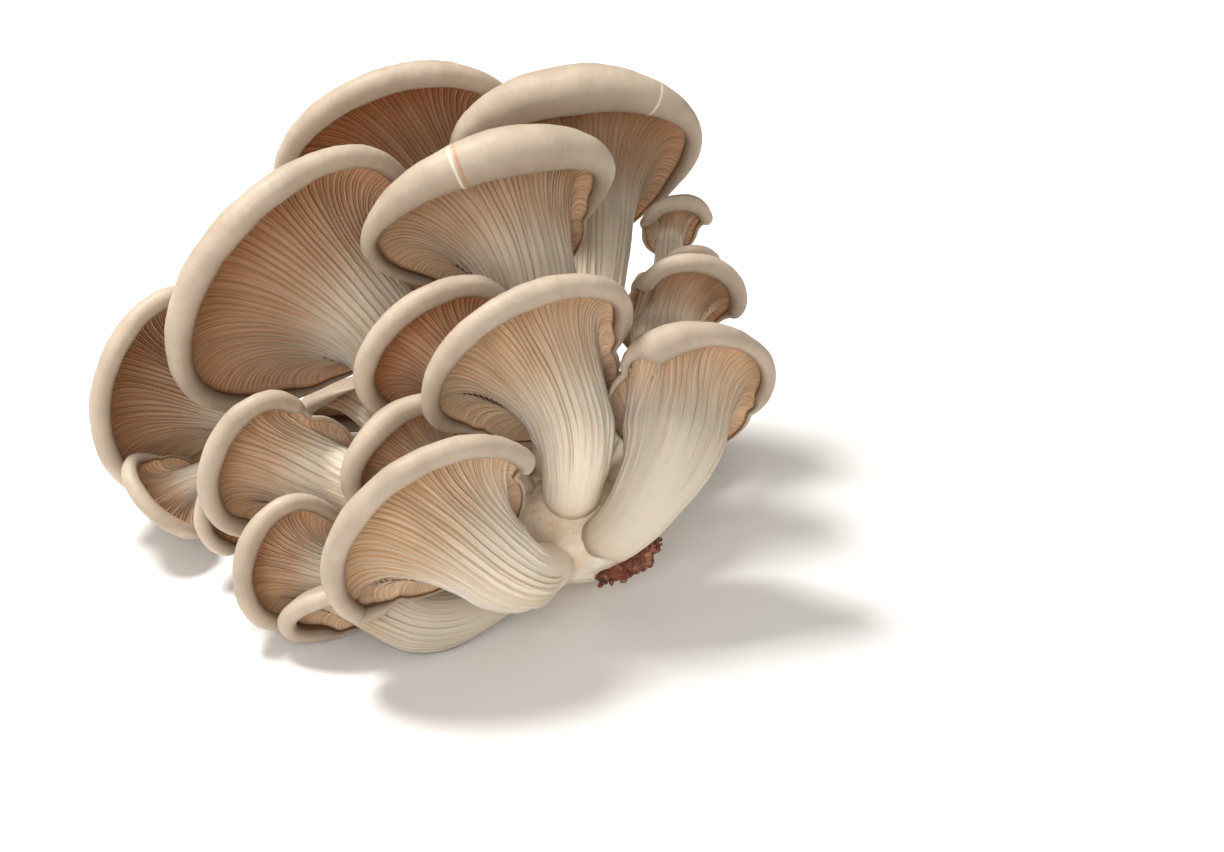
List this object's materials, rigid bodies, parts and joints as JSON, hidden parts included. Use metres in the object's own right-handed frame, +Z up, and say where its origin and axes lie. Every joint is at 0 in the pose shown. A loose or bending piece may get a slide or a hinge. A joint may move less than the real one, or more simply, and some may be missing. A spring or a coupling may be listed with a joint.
{
  "type": "oyster mushroom cluster",
  "caption": "Oyster mushrooms grown in a cluster: fan-shaped caps with gills underneath, on short stems that come out of a shared base clump, lying as picked.",
  "frame": {"origin": "centre of the bounding box, at the level of the surface that the cluster lies on", "axes": "+X to the right along the widest spread of the caps, +Y towards the back, +Z up"},
  "size_m": [0.1694, 0.1539, 0.1118],
  "materials": {
    "flesh": "matte, slightly velvety",
    "base_flesh": "matte, fibrous",
    "bark": "rough crumbs"
  },
  "bodies": {
    "root": {"cap_back_left": "flesh", "cap_back_right": "flesh", "cap_big_left": "flesh", "cap_middle": "flesh", "cap_far_left": "flesh", "cap_far_left_low": "flesh", "cap_left": "flesh", "cap_left_low": "flesh", "cap_front_left": "flesh", "cap_front": "flesh", "cap_front_low": "flesh", "cap_centre": "flesh", "cap_centre_left": "flesh", "cap_centre_low": "flesh", "cap_right": "flesh", "cap_right_high": "flesh", "cap_right_bud": "flesh", "cap_right_top": "flesh", "cap_rear_left": "flesh", "cap_rear_right": "flesh", "base_clump": "base_flesh", "growing_crust": "bark"}
  },
  "joints": []
}
